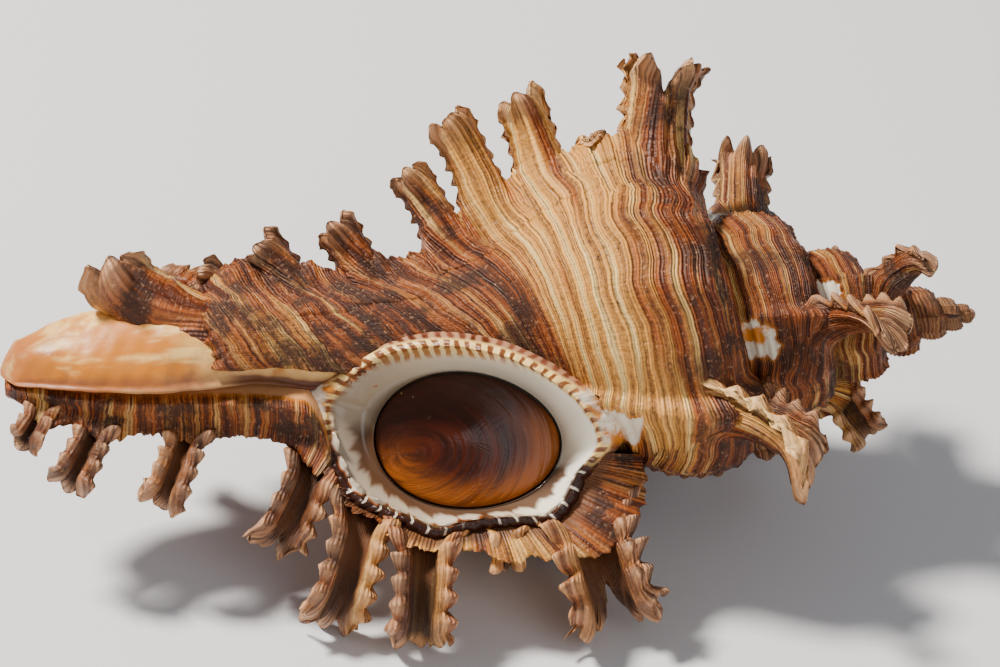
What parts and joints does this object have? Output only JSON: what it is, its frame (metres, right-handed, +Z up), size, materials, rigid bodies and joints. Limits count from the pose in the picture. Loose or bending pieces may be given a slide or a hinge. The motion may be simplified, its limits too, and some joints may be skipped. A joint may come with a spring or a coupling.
{
  "type": "rose-branch murex shell",
  "caption": "Long spired sea shell with a straight canal, rows of leafy hollow spines on its ribs and a horny door set in its round mouth, lying on its spine tips.",
  "frame": {"origin": "middle of the shell's box, on the surface that it lies on", "axes": "+X along the shell from the canal tip to the apex, +Z up, mouth towards -Y"},
  "size_m": [0.094, 0.0466, 0.0469],
  "materials": {
    "shell": "Cream to orange shell with fine red-brown lines along its cords, satin outside and glossy in the mouth.",
    "operculum": "Dark brown horn with curved growth lines, glossy, orange-brown towards its edge."
  },
  "bodies": {
    "root": {"shell": "shell", "operculum": "operculum"}
  },
  "joints": []
}
